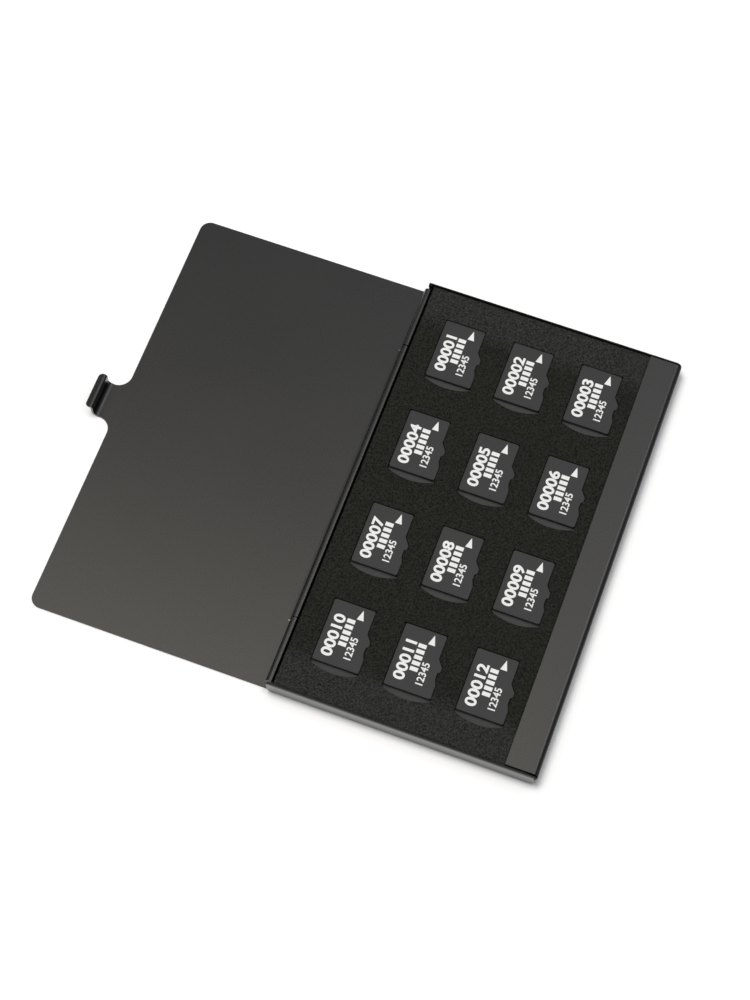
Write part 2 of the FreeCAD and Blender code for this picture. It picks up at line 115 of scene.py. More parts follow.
class CaseFinish(bpy.types.PropertyGroup):
    """Colours and gloss of the case and the cards."""

    metal: tint("Metal", "Dark anodised sheet", (0.072, 0.0716, 0.0708))
    metal_pale: tint("Metal, pale", "Sheet where the dye is thinner", (0.078, 0.0776, 0.0766))
    # Painted shade: the end walls' upper edges get this darker colour.
    metal_edge_shade: tint("Metal, cut", "Upper edges of the tray's end walls", (0.026, 0.026, 0.026))
    metal_roughness: share("Metal roughness", "Satin of the anodised sheet", 0.27)
    # Where that painted shade lies: above this height, and within the sheet's thickness of each end.
    edge_shade_level: length("Cut level", "Height above which an end wall's cut edge starts", 5.13 * MM)
    edge_shade_width: length("Cut width", "Thickness of the cut sheet", 0.5 * MM)
    # Painted shade: the outside of the front's upper bend gets this darker colour, and it is also made
    # duller.
    metal_bend_shade: tint("Metal, bent", "Outside of the tray's upper front bend", (0.028, 0.028, 0.028))
    bend_roughness: share("Bend roughness", "How much duller the bent sheet is", 0.35)
    bend_width: length("Bend width", "How far the darker bend reaches back from the front", 0.75 * MM)
    bend_soft: length("Bend softness", "Width over which the bend's tone starts", 0.2 * MM)
    bend_level: length("Bend level", "Height on the front wall where the bend's tone starts", 3.2 * MM)
    bend_fade: length("Bend fade", "Height over which it comes in", 1.0 * MM)
    steel: tint("Steel", "Hinge pin", (0.42, 0.42, 0.43))
    foam: tint("Foam", "Upper foam between its pores", (0.0162, 0.0164, 0.0132))
    foam_end: tint("Foam, ends", "Foam beyond the outer pockets", (0.0262, 0.0268, 0.0258))
    end_start: length("End start", "Distance from the middle where the foam starts to grey", 41.5 * MM)
    end_fade: length("End fade", "Width over which it greys", 4.0 * MM)
    # Painted shade: the colour inside the foam's pores, which are only bumps.
    pore_shade: tint("Pore", "Inside of the foam's pores", (0.004, 0.004, 0.004))
    bed: tint("Bed", "Lower foam in the finger notches", (0.060, 0.060, 0.060))
    card: tint("Card", "Moulded card body", (0.0275, 0.0275, 0.029))
    ink: tint("Ink", "Printed marks", (0.86, 0.86, 0.85))
    gilt: tint("Gilt", "Contact pads", (0.80, 0.58, 0.22))
    film: tint("Film", "Adhesive under the foam", (0.55, 0.53, 0.47))


class FoamSizes(bpy.types.PropertyGroup):
    """Sizes of the die-cut foam."""

    clearance: length("Clearance", "Room between a card and its pocket", 0.12 * MM)
    near_clearance: length("Near clearance", "Room at the card's near end", 0.75 * MM)
    notch_depth: length("Notch depth", "Reach of the finger notch", 1.1 * MM)
    notch_inset: length("Notch inset", "Pocket corner left beside the notch", 0.3 * MM)
    shoulder: length("Shoulder", "Height along the card where it narrows", 7.7 * MM)
    shoulder_rise: length("Shoulder rise", "Length of the narrowing", 1.8 * MM)
    shoulder_step: length("Shoulder step", "How far the card narrows", 1.3 * MM)
    latch_depth: length("Latch depth", "How far the foam follows the card's latch notch", 0.5 * MM)
    latch_start: length("Latch start", "Height along the card where its latch notch starts", 3.4 * MM)
    latch_full: length("Latch full", "Height along the card where the notch is deepest", 4.8 * MM)
    latch_end: length("Latch end", "Height along the card where the notch turns back", 6.2 * MM)
    latch_high: length("Latch high", "Height along the card where the notch is over", 6.7 * MM)
    hinge_swell: length("Hinge swell", "How far the soft foam swells towards the hinge", 0.3 * MM)
    rim: length("Rim", "Rounding of the cut edge", 0.15 * MM)
    wave: length("Wave", "Unevenness of the foam's face", 0.03 * MM)
    wave_length: length("Wave length", "Spacing of that unevenness", 2.4 * MM)


class PrintSizes(bpy.types.PropertyGroup):
    """Sizes of the printed marks, from the card's near left corner."""

    number_height: length("Number height", "Height of the large digits", 2.45 * MM)
    number_stretch: share("Number stretch", "Width of the large digits, over the font's own", 1.17)
    number_x: length("Number across", "Middle of the large digits across the card", 2.6 * MM)
    number_y: length("Number along", "Middle of the large digits along the card", 6.75 * MM)
    weight: length("Weight", "How much the large digits are thickened", 0.11 * MM)
    bar_left: length("Bar left", "Left end of the bars", 4.3 * MM)
    bar_length: length("Bar length", "Length of a bar", 1.85 * MM)
    bar_width: length("Bar width", "Width of a bar", 0.95 * MM)
    bar_first: length("First bar", "Middle of the first bar along the card", 5.4 * MM)
    bar_pitch: length("Bar pitch", "Spacing of the bars", 1.4 * MM)
    bar_count: bpy.props.IntProperty(name="Bars", description="How many bars there are", default=5, min=1)
    code_height: length("Code height", "Height of the small digits", 1.65 * MM)
    code_x: length("Code across", "Middle of the small digits across the card", 7.4 * MM)
    code_y: length("Code along", "Middle of the small digits along the card", 5.0 * MM)
    code_weight: length("Code weight", "How much the small digits are thickened", 0.04 * MM)
    arrow_x: length("Arrow across", "Middle of the arrow across the card", 7.0 * MM)
    arrow_y: length("Arrow along", "Base of the arrow along the card", 11.9 * MM)
    arrow_width: length("Arrow width", "Base of the arrow", 1.6 * MM)
    arrow_height: length("Arrow height", "Height of the arrow", 2.4 * MM)
    ink_height: length("Ink height", "Thickness of the ink", 0.015 * MM)


class StageSizes(bpy.types.PropertyGroup):
    """Camera, floor and the light from all round."""

    eye: bpy.props.FloatVectorProperty(
        name="Eye", description="Place of the camera", default=(0.04413, -0.18741, 0.46332), unit="LENGTH")
    sight: bpy.props.FloatVectorProperty(
        name="Sight", description="Direction that the camera looks in", default=(-0.1359, 0.3683, -0.9197),
        subtype="DIRECTION")
    lens: bpy.props.FloatProperty(
        name="Lens", description="Focal length in millimetres", default=52.97, unit="CAMERA")
    floor: tint("Floor", "Colour of the floor", (0.90, 0.90, 0.90))
    floor_span: length("Floor span", "Half the width of the floor", 6.0)
    floor_seen: share("Floor seen", "Extra light of the floor for the eye", 0.14)
    floor_mirrored: share("Floor mirrored", "Extra light of the floor in mirrors and glass", 0.5)
    foot_shade: length("Foot shade", "Width of the darker floor beside the tray's walls", 1.0 * MM)
    sky: tint("Sky", "Colour of the light from all round", (0.98, 0.99, 1.02))
    horizon: share("Horizon", "Strength of the light from the horizon", 0.12)
    zenith: share("Zenith", "How much stronger it is from straight above", 0.42)


def settings():
    """The values that a user would change, as they are now."""
    return bpy.context.scene.card_case


class Shade:
    """A shader value. Arithmetic on it adds the Math nodes that work it out."""

    def __init__(self, tree, socket=None):
        self.tree = tree
        self.socket = socket

    def node(self, kind, inputs=None, output=0, stops=None, **options):
        """Adds a node: first its settings and ramp stops, then values or links for its sockets."""
        made = self.tree.nodes.new(kind)
        for name, value in options.items():
            setattr(made, name, value)
        for index, (place, value) in enumerate(stops or ()):
            ramp = made.color_ramp.elements
            stop = ramp[index] if index < len(ramp) else ramp.new(place)
            stop.position = place
            stop.color = (value, value, value, 1) if isinstance(value, (int, float)) else (*value, 1)
        for name, value in (inputs or {}).items():
            if isinstance(value, Shade):
                self.tree.links.new(value.socket, made.inputs[name])
            else:
                made.inputs[name].default_value = value
        return Shade(self.tree, made.outputs[output] if made.outputs else None)

    def maths(self, operation, *values):
        return self.node("ShaderNodeMath", dict(enumerate(values)), operation=operation)

    def __add__(self, other):
        return self.maths("ADD", self, other)

    __radd__ = __add__

    def __sub__(self, other):
        return self.maths("SUBTRACT", self, other)

    def __rsub__(self, other):
        return self.maths("SUBTRACT", other, self)

    def __mul__(self, other):
        return self.maths("MULTIPLY", self, other)

    __rmul__ = __mul__

    def __truediv__(self, other):
        return self.maths("DIVIDE", self, other)

    def __rtruediv__(self, other):
        return self.maths("DIVIDE", other, self)

    def vector(self, operation, *values, output="Vector"):
        return self.node("ShaderNodeVectorMath", dict(enumerate(values)), output=output, operation=operation)

    def between(self, value, low, high):
        """Goes from low to high as the value goes from 0 to 1."""
        return low + value * (high - low)

    def rise(self, value, start, width):
        """0 up to start, then straight up to 1 over this width."""
        return self.node("ShaderNodeClamp", {"Value": (value - start) / width})

    def place(self):
        """The point on the piece, in metres."""
        return self.node("ShaderNodeTexCoord", output="Object")

    def axis(self, point, name):
        return self.node("ShaderNodeSeparateXYZ", {"Vector": point}, output=name)

    def scaled(self, point, scale):
        return self.node("ShaderNodeMapping", {"Vector": point, "Scale": scale})

    def noise(self, point, scale, detail=2.0, roughness=0.5):
        """Cloudy noise from 0 to 1 with this many cells in a metre."""
        sockets = {"Vector": point, "Scale": scale, "Detail": detail, "Roughness": roughness}
        return self.node("ShaderNodeTexNoise", sockets, output="Fac")

    def cells(self, point, scale):
        """Distance to the middle of the nearest cell, with this many cells in a metre."""
        return self.node("ShaderNodeTexVoronoi", {"Vector": point, "Scale": scale}, output="Distance")

    def ramp(self, value, stops):
        return self.node("ShaderNodeValToRGB", {"Fac": value}, stops=stops, output="Color")

    def mix(self, share_value, first, second):
        """Goes from the first colour to the second."""
        sockets = {0: share_value, 6: as_colour(first), 7: as_colour(second)}
        return self.node("ShaderNodeMix", sockets, output=2, data_type="RGBA")

    def tones(self, value, colour, darkest, lightest):
        """Goes from a darker to a lighter tone of one colour."""
        return self.mix(value, toned(colour, darkest), toned(colour, lightest))

    def bump(self, height, strength, distance):
        sockets = {"Height": height, "Strength": strength, "Distance": distance}
        return self.node("ShaderNodeBump", sockets, output="Normal")


def as_colour(value):
    """A colour as a socket takes it."""
    return value if isinstance(value, Shade) else (*value, 1.0)


def toned(colour, level):
    """A colour times a level."""
    if isinstance(colour, Shade):
        return colour.node("ShaderNodeVectorMath", {0: colour, "Scale": level}, operation="SCALE")
    return tuple(part * level for part in colour)


def fresh_nodes(owner):
    """Clears the nodes of a material or the world."""
    owner.use_nodes = True
    owner.node_tree.nodes.clear()
    return Shade(owner.node_tree)


def placed(name, data):
    """Adds an object with this data to the scene."""
    made = bpy.data.objects.new(name, data)
    bpy.context.scene.collection.objects.link(made)
    return made


def material(name, build):
    """Makes a material whose shader's sockets come from build."""
    made = bpy.data.materials.new(name)
    shade = fresh_nodes(made)
    sockets = {key: as_colour(value) if "Color" in key else value for key, value in build(shade).items()}
    shader = shade.node("ShaderNodeBsdfPrincipled", sockets, output="BSDF")
    shade.node("ShaderNodeOutputMaterial", {"Surface": shader})
    return made


def painted_edge_shade(shade, point):
    """1 on the upper edges of the tray's end walls, where shade is painted into the colour, and 0 elsewhere.
    """
    finish = settings().finish
    reach = shade.maths("ABSOLUTE", shade.axis(point, "Y"))
    at_end = shade.maths("GREATER_THAN", reach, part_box("base_tray")[1].y - finish.edge_shade_width)
    on_top = shade.maths("GREATER_THAN", shade.axis(point, "Z"), finish.edge_shade_level)
    return at_end * on_top


def bend_shade_and_dullness(shade, point):
    """1 on the outside of the tray's upper front bend, fading out inwards and down the front wall: where
    shade is painted into the colour and the sheet is duller.
    """
    finish = settings().finish
    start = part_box("base_tray")[1].x - finish.bend_width
    out = shade.rise(shade.axis(point, "X"), start, finish.bend_soft)
    up = shade.rise(shade.axis(point, "Z"), finish.bend_level, finish.bend_fade)
    return out * up


def anodised(shade):
    """Dark dyed oxide on sheet metal: satin, with a fine grain and slow drifts of tone.

    Its colour is painted darker, as shade, on the outside of the front's upper bend, which is also duller,
    and on the end walls' upper edges.
    """
    finish = settings().finish
    point = shade.place()
    drift = shade.noise(point, scale=38, detail=3)
    grain = shade.noise(point, scale=9000)
    roll = shade.noise(shade.scaled(point, scale=(5200, 260, 2600)), scale=1)
    sheet = shade.mix(drift, finish.metal, finish.metal_pale)
    # The bend's mask darkens the colour as painted shade and raises the roughness.
    bend = bend_shade_and_dullness(shade, point)
    sheet_with_bend_shade = shade.mix(bend, sheet, finish.metal_bend_shade)
    satin = shade.between(drift, -0.05, 0) + shade.between(grain, 0, 0.06)
    return {
        # Painted shade on the end walls' upper edges, over the painted shade of the bend.
        "Base Color": shade.mix(painted_edge_shade(shade, point), sheet_with_bend_shade, finish.metal_edge_shade),
        "Metallic": 1.0,
        "Roughness": finish.metal_roughness + satin + bend * finish.bend_roughness,
        "Normal": shade.bump(grain * 0.7 + roll * 0.3, strength=0.05, distance=0.02 * MM),
    }


def drawn_steel(shade):
    """Drawn wire with faint rings across its length."""
    rings = shade.noise(shade.scaled(shade.place(), scale=(600, 14000, 600)), scale=1, detail=3)
    return {
        "Base Color": settings().finish.steel,
        "Metallic": 1.0,
        "Roughness": shade.between(rings, 0.22, 0.42),
        "Normal": shade.bump(rings, strength=0.08, distance=0.01 * MM),
    }


def pitted_foam(shade):
    """Closed-cell foam: matt skin with a speckle of painted glints and painted shade, pores painted dark as
    shade, and greyer at its ends.
    """
    finish = settings().finish
    point = shade.place()
    grain = shade.noise(point, scale=2400, detail=4, roughness=0.7)
    cloud = shade.noise(point, scale=60, detail=3)
    # The pores are bumped in and painted dark, as shade.
    pits = shade.ramp(shade.cells(point, scale=1500), stops=((0.10, 1.0), (0.32, 0.0)))
    # The skin's speckle follows the grain: lighter on its highs as painted glints, darker on its lows as
    # painted shade.
    light = shade.ramp(grain, stops=((0.36, 0.0), (0.66, 1.0)))
    reach = shade.maths("ABSOLUTE", shade.axis(point, "Y"))
    tone = shade.mix(shade.rise(reach, finish.end_start, finish.end_fade), finish.foam, finish.foam_end)
    skin = shade.tones(light, tone, darkest=0.2, lightest=2.0)
    worn = shade.mix(cloud * 0.3, skin, tone)
    return {
        "Base Color": shade.mix(pits * 0.6, worn, finish.pore_shade),
        "Roughness": 0.92,
        "Specular IOR Level": 0.12,
        "Normal": shade.bump(grain - pits * 0.6, strength=0.8, distance=0.12 * MM),
    }


def smooth_foam(shade):
    """Denser lower foam with a smooth sliced face."""
    point = shade.place()
    speck = shade.noise(point, scale=2600, detail=3)
    cloud = shade.noise(point, scale=120)
    return {
        "Base Color": shade.tones(speck, settings().finish.bed, darkest=0.75, lightest=1.2),
        "Roughness": shade.between(cloud, 0.75, 0.90),
        "Specular IOR Level": 0.35,
        "Normal": shade.bump(speck, strength=0.35, distance=0.04 * MM),
    }


def adhesive_film(shade):
    """Thin clouded film."""
    cloud = shade.noise(shade.place(), scale=300, detail=3)
    return {
        "Base Color": shade.tones(cloud, settings().finish.film, darkest=0.85, lightest=1.0),
        "Roughness": shade.between(cloud, 0.45, 0.65),
    }


def moulded_card(shade):
    """Filled plastic with the fine texture of its mould."""
    point = shade.place()
    spark = shade.noise(point, scale=7000)
    cloud = shade.noise(point, scale=260)
    return {
        "Base Color": shade.tones(cloud, settings().finish.card, darkest=0.9, lightest=1.1),
        "Roughness": shade.between(spark, 0.46, 0.60),
        "Normal": shade.bump(spark, strength=0.12, distance=0.02 * MM),
    }


def printed_ink(shade):
    """Screen-printed ink, a little thin in places."""
    mottle = shade.noise(shade.place(), scale=3800, detail=3)
    return {
        "Base Color": shade.tones(mottle, settings().finish.ink, darkest=0.88, lightest=1.0),
        "Roughness": shade.between(mottle, 0.50, 0.65),
        "Normal": shade.bump(mottle, strength=0.1, distance=0.01 * MM),
    }


def gilt_pad(shade):
    """Gold plating with faint scratches along the way the card slides."""
    scratch = shade.noise(shade.scaled(shade.place(), scale=(16000, 500, 1000)), scale=1)
    return {
        "Base Color": settings().finish.gilt,
        "Metallic": 1.0,
        "Roughness": shade.between(scratch, 0.18, 0.40),
        "Normal": shade.bump(scratch, strength=0.06, distance=0.01 * MM),
    }


def dress(node, finish):
    """Gives a carried node its one finish."""
    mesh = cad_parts[node].data
    mesh.materials.clear()
    mesh.materials.append(finish)


class Patchwork:
    """Grids of points that are stitched into one closed mesh."""

    def __init__(self):
        self.points = []
        self.faces = []
        self.count = 0

    def add(self, grid, flip=False):
        """Adds a grid of points [row, column, xyz] with a quad between each four neighbours."""
        rows, columns, _ = grid.shape
        index = np.arange(rows * columns).reshape(rows, columns) + self.count
        quads = np.stack([index[:-1, :-1], index[:-1, 1:], index[1:, 1:], index[1:, :-1]], axis=-1)
        quads = quads.reshape(-1, 4)
        self.faces.append(quads[:, ::-1] if flip else quads)
        self.points.append(grid.reshape(-1, 3))
        self.count += rows * columns

    def piece(self, name, finish):
        """Makes the object, with doubled points at the seams merged."""
        points = np.concatenate(self.points)
        keys = np.round(points / DOUBLED).astype(np.int64)
        _, first, back = np.unique(keys, axis=0, return_index=True, return_inverse=True)
        faces = back.reshape(-1)[np.concatenate(self.faces)]
        mesh = bpy.data.meshes.new(name)
        mesh.from_pydata(points[first].tolist(), [], faces.tolist())
        mesh.validate()
        mesh.materials.append(finish)
        mesh.polygons.foreach_set("use_smooth", np.ones(len(mesh.polygons), dtype=bool))
        return placed(name, mesh)


def waves(x, y, wave_length, seed):
    """Smooth unevenness of about -1 to 1: the scaled sum of plane waves in drawn directions.

    Each wave is the sine of the distance along its direction over its length, plus a drawn phase.
    """
    draw = np.random.default_rng(seed)
    total = np.zeros_like(x)
    for _ in range(WAVE_COUNT):
        angle = math.tau * draw.random()
        stretch = wave_length * (SHORTEST_WAVE + WAVE_SPREAD * draw.random())
        along = x * math.cos(angle) + y * math.sin(angle)
        total += np.sin(math.tau * (along / stretch + draw.random()))
    return total / math.sqrt(WAVE_COUNT) / WAVE_PEAK


def side(start, end, count):
    """Points from start up to, but not at, end: spaced by half a cosine wave, so closer near both."""
    part = (1 - np.cos(np.linspace(0, math.pi, count, endpoint=False))) / 2
    return start + (end - start) * part


def frame_ring(left, right, low, high, across, along):
    """Walks round a rectangle from its near left corner, anticlockwise, as [point, xy]."""
    bottom = np.stack([side(left, right, across), np.full(across, low)], axis=-1)
    rising = np.stack([np.full(along, right), side(low, high, along)], axis=-1)
    top = np.stack([side(right, left, across), np.full(across, high)], axis=-1)
    falling = np.stack([np.full(along, left), side(high, low, along)], axis=-1)
    return np.concatenate([bottom, rising, top, falling])


def ramp_up(value, start, end):
    """0 below start, 1 above end and straight between."""
    return np.clip((value - start) / (end - start), 0, 1)


def pocket_ring(card, across, along):
    """Walks round one pocket as frame_ring does round its cell.

    The near side bulges out in a circular arc for the finger notch. The right side steps in by
    straight ramps at the latch notch and over the shoulder, so it follows the card. The far side is
    as much shorter as the shoulder steps in.
    """
    sizes = settings().foam
    low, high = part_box(card)
    left, right = low.x - sizes.clearance, high.x + sizes.clearance
    near, far = low.y - sizes.near_clearance, high.y + sizes.clearance
    ring = frame_ring(left, right, near, far, across, along)
    half = (right - left) / 2 - sizes.notch_inset
    radius = (half ** 2 + sizes.notch_depth ** 2) / (2 * sizes.notch_depth)
    from_middle = np.clip(ring[:across, 0] - (left + right) / 2, -half, half)
    ring[:across, 1] -= np.sqrt(radius ** 2 - from_middle ** 2) - (radius - sizes.notch_depth)
    height = ring[across:across + along, 1] - low.y
    inward = ramp_up(height, sizes.shoulder, sizes.shoulder + sizes.shoulder_rise) * sizes.shoulder_step
    inward += ramp_up(height, sizes.latch_start, sizes.latch_full) * sizes.latch_depth
    inward -= ramp_up(height, sizes.latch_end, sizes.latch_high) * sizes.latch_depth
    ring[across:across + along, 0] -= inward
    top = ring[across + along:2 * across + along, 0]
    top -= (top - left) / (right - left) * sizes.shoulder_step
    return ring


def pushed_out(ring, distance):
    """Moves a closed ring outwards by the same distance along its edges' mean normal."""
    ahead = np.roll(ring, -1, axis=0) - ring
    normal = np.stack([ahead[:, 1], -ahead[:, 0]], axis=-1)
    normal /= np.linalg.norm(normal, axis=1, keepdims=True)
    mean = normal + np.roll(normal, 1, axis=0)
    mean /= np.maximum((mean ** 2).sum(axis=1, keepdims=True) / 2, SHARPEST)
    return ring + mean * distance


def closed(ring):
    """The ring with its first point again at its end."""
    return np.concatenate([ring, ring[:1]])


def at_height(ring, height):
    """The ring [point, xy] as [point, xyz]."""
    return np.concatenate([ring, np.broadcast_to(height, (len(ring),))[:, None]], axis=1)


def cell_edges(names):
    """Edges of the cells that part the foam's face, one pocket in each: halfway between cards."""
    low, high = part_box("foam_insert")
    boxes = [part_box(name) for name in names]
    middles = np.array([[(a.x + b.x) / 2, (a.y + b.y) / 2] for a, b in boxes])
    columns = middles[:CARD_COLUMNS, 0]
    rows = middles[::CARD_COLUMNS, 1]
    hinge_edge = low.x - settings().foam.hinge_swell
    across = np.concatenate([[hinge_edge], (columns[1:] + columns[:-1]) / 2, [high.x]])
    along = np.concatenate([[high.y], (rows[1:] + rows[:-1]) / 2, [low.y]])
    return across, along


def foam_face(x, y, top):
    """Height of the foam's face: nearly flat, with slow unevenness that stays below its solid."""
    sizes = settings().foam
    return top + (waves(x, y, sizes.wave_length, INSERT_SEED) - 1) * sizes.wave


def add_cell(work, card, edges, outer):
    """Adds one cell: up the pocket's wall, over its rounded rim and out to the cell's edge.

    Ring by ring the wall bulges by half a sine wave, the pocket's outline is pushed out by the rim's
    arc, and then it turns in straight lines into the cell's rectangle, while the height follows the
    foam's face. The underside is flat, and a wall closes each side that lies on the foam's outside.
    """
    across, along = CELL_POINTS
    sizes = settings().foam
    low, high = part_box("foam_insert")
    left, right, near, far = edges
    pocket = pocket_ring(card, across, along)
    border = frame_ring(left, right, near, far, across, along)
    rings = []
    for height in np.linspace(low.z, high.z - sizes.rim, WALL_RINGS):
        bulge = math.sin(math.pi * (height - low.z) / (high.z - low.z)) * sizes.rim * WALL_BULGE
        rings.append(at_height(pushed_out(pocket, -bulge), height))
    rim = pushed_out(pocket, sizes.rim)
    for angle in np.linspace(0, math.pi / 2, RIM_RINGS)[1:]:
        out = pushed_out(pocket, sizes.rim * (1 - math.cos(angle)))
        face = foam_face(out[:, 0], out[:, 1], high.z)
        rings.append(at_height(out, face - sizes.rim * (1 - math.sin(angle))))
    for part in np.linspace(0, 1, FACE_RINGS)[1:]:
        flat = rim + (border - rim) * part
        rings.append(at_height(flat, foam_face(flat[:, 0], flat[:, 1], high.z)))
    upper = closed(rings[-1])
    lower = closed(at_height(border, low.z))
    work.add(np.stack([closed(ring) for ring in rings]), flip=True)
    work.add(np.stack([lower, closed(rings[0])]), flip=True)
    starts = np.cumsum([0, across, along, across, along])
    for number, is_outer in enumerate(outer):
        if is_outer:
            span = slice(starts[number], starts[number + 1] + 1)
            work.add(np.stack([upper[span], lower[span]]), flip=True)


def make_insert():
    """Models the die-cut upper foam as twelve cells stitched together."""
    work = Patchwork()
    across, along = cell_edges(CARD_NAMES)
    for index, card in enumerate(CARD_NAMES):
        row, column = divmod(index, CARD_COLUMNS)
        edges = (across[column], across[column + 1], along[row + 1], along[row])
        outer = (row == len(along) - 2, column == CARD_COLUMNS - 1, row == 0, column == 0)
        add_cell(work, card, edges, outer)
    return work.piece("foam_insert_soft", material("pitted_foam", pitted_foam))


def make_bed():
    """Models the lower foam: a slab whose face dips in slow waves and rounds off at its edges.

    Height = top - wave - rim * (1 - sqrt(1 - (1 - d / w)^2)), with d the distance to the edge and w
    the width of the rounded edge.
    """
    sizes = settings().foam
    low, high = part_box("foam_bed")
    x, y = np.meshgrid(np.linspace(low.x, high.x, BED_POINTS[0]), np.linspace(low.y, high.y, BED_POINTS[1]))
    edge = np.minimum(np.minimum(x - low.x, high.x - x), np.minimum(y - low.y, high.y - y))
    short = np.clip(1 - edge / (sizes.rim * BED_EDGE), 0, 1)
    drop = sizes.rim * (1 - np.sqrt(1 - short ** 2))
    face = high.z - drop + (waves(x, y, sizes.wave_length, BED_SEED) - 1) * sizes.wave * BED_WAVE
    upper = np.stack([x, y, face], axis=-1)
    lower = np.stack([x, y, np.full_like(x, low.z)], axis=-1)
    work = Patchwork()
    work.add(upper)
    work.add(lower, flip=True)
    ends = ((upper[0], lower[0]), (lower[-1], upper[-1]))
    sides = ((lower[:, 0], upper[:, 0]), (upper[:, -1], lower[:, -1]))
    for rows in ends + sides:
        work.add(np.stack(rows), flip=True)
    return work.piece("foam_bed_soft", material("smooth_foam", smooth_foam))


class PrintPlates:
    """Flat printed shapes, each a thin plate, gathered into one mesh."""

    def __init__(self, base, height):
        self.base = base
        self.height = height
        self.points = []
        self.faces = []
        self.count = 0

    def add(self, outline):
        """Adds a plate with this anticlockwise outline [point, xy]."""
        count = len(outline)
        lower = at_height(outline, self.base)
        upper = at_height(outline, self.base + self.height)
        ring = np.arange(count) + self.count
        ahead = np.roll(ring, -1)
        self.faces.append((ring + count).tolist())
        self.faces.append(ring[::-1].tolist())
        self.faces.extend(np.stack([ring, ahead, ahead + count, ring + count], axis=-1).tolist())
        self.points.append(np.concatenate([lower, upper]))
        self.count += 2 * count

    def add_mesh(self, points, faces):
        """Adds ready points and faces, each face an array of its corners."""
        self.points.append(points)
        self.faces.extend((face + self.count).tolist() for face in faces)
        self.count += len(points)


def digits(text, height, weight, stretch, thickness):
    """Turns plain digits into points and faces, centred on the origin and lying on z = 0."""
    curve = bpy.data.curves.new("digits", "FONT")
    curve.body = text
    curve.size = height * DIGIT_SIZE
    curve.offset = weight
    curve.extrude = thickness / 2
    curve.resolution_u = DIGIT_STEPS
    holder = placed("digits", curve)
    mesh = bpy.data.meshes.new_from_object(holder.evaluated_get(bpy.context.evaluated_depsgraph_get()))
    work = bmesh.new()
    work.from_mesh(mesh)
    bmesh.ops.remove_doubles(work, verts=work.verts, dist=DOUBLED)
    bmesh.ops.dissolve_degenerate(work, edges=work.edges, dist=DOUBLED)
    work.to_mesh(mesh)
    work.free()
    points = np.empty(len(mesh.vertices) * 3)
    mesh.vertices.foreach_get("co", points)
    points = points.reshape(-1, 3)
    points[:, :2] -= (points[:, :2].min(axis=0) + points[:, :2].max(axis=0)) / 2
    points[:, 0] *= stretch
    points[:, 2] += thickness / 2
    faces = [np.array(face.vertices) for face in mesh.polygons]
    bpy.data.objects.remove(holder)
    bpy.data.curves.remove(curve)
    bpy.data.meshes.remove(mesh)
    return points, faces


def box_outline(middle_x, middle_y, width, depth):
    """Corners of a rectangle, anticlockwise."""
    corners = np.array([[-1, -1], [1, -1], [1, 1], [-1, 1]]) / 2
    return corners * (width, depth) + (middle_x, middle_y)


def make_print(card, finish):
    """Prints one card: its number along the long side, bars, a plain code and an arrow."""
    sizes = settings().marks
    low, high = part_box(card)
    plates = PrintPlates(high.z, sizes.ink_height)
    number = (sizes.number_height, sizes.weight, sizes.number_stretch, sizes.number_x, sizes.number_y)
    code = (sizes.code_height, sizes.code_weight, 1.0, sizes.code_x, sizes.code_y)
    for line, (height, weight, stretch, across, along) in ((f"000{card[-2:]}", number), ("12345", code)):
        points, faces = digits(line, height, weight, stretch, sizes.ink_height)
        turned = np.stack([-points[:, 1], points[:, 0], points[:, 2]], axis=-1)
        plates.add_mesh(turned + (low.x + across, low.y + along, high.z), faces)
    bar_middle = low.x + sizes.bar_left + sizes.bar_length / 2
    for index in range(sizes.bar_count):
        along = low.y + sizes.bar_first + index * sizes.bar_pitch
        plates.add(box_outline(bar_middle, along, sizes.bar_length, sizes.bar_width))
    arrow = np.array([[-0.5, 0], [0.5, 0], [0, 1]]) * (sizes.arrow_width, sizes.arrow_height)
    plates.add(arrow + (low.x + sizes.arrow_x, low.y + sizes.arrow_y))
    name = f"print_{card[-2:]}"
    mesh = bpy.data.meshes.new(name)
    mesh.from_pydata(np.concatenate(plates.points).tolist(), [], plates.faces)
    mesh.validate()
    mesh.materials.append(finish)
    return placed(name, mesh)


class CASE_OT_metal(bpy.types.Operator):
    """Gives the tray and the lid their dark anodised finish"""

    bl_idname = "case.metal"
    bl_label = "Tray and lid"

    def execute(self, context):
        finish = material("anodised_sheet", anodised)
        dress("base_tray", finish)
        dress("lid", finish)
        return {"FINISHED"}


class CASE_OT_pin(bpy.types.Operator):
    """Gives the hinge pin its drawn steel finish"""

    bl_idname = "case.pin"
    bl_label = "Hinge pin"

    def execute(self, context):
        dress("hinge_pin", material("drawn_steel", drawn_steel))
        return {"FINISHED"}


class CASE_OT_foam(bpy.types.Operator):
    """Models both foam layers and finishes the film under them"""

    bl_idname = "case.foam"
    bl_label = "Foam layers"

    def execute(self, context):
        for made, node in ((make_bed(), "foam_bed"), (make_insert(), "foam_insert")):
            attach(made, "tray")
            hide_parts(node)
        dress("foam_adhesive", material("adhesive_film", adhesive_film))
        return {"FINISHED"}


class CASE_OT_cards(bpy.types.Operator):
    """Finishes the cards and their contacts and prints each card"""

    bl_idname = "case.cards"
    bl_label = "Cards, contacts and print"

    def execute(self, context):
        plastic = material("moulded_card", moulded_card)
        gilt = material("gilt_pad", gilt_pad)
        ink = material("printed_ink", printed_ink)
        for card in CARD_NAMES:
            dress(card, plastic)
            dress(card.replace("card_", "card_contacts_"), gilt)
            made = make_print(card, ink)
            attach(made, card)
        return {"FINISHED"}


Softbox = namedtuple("Softbox", "name place target span watts colour mirrored", defaults=((1, 1, 1), True))

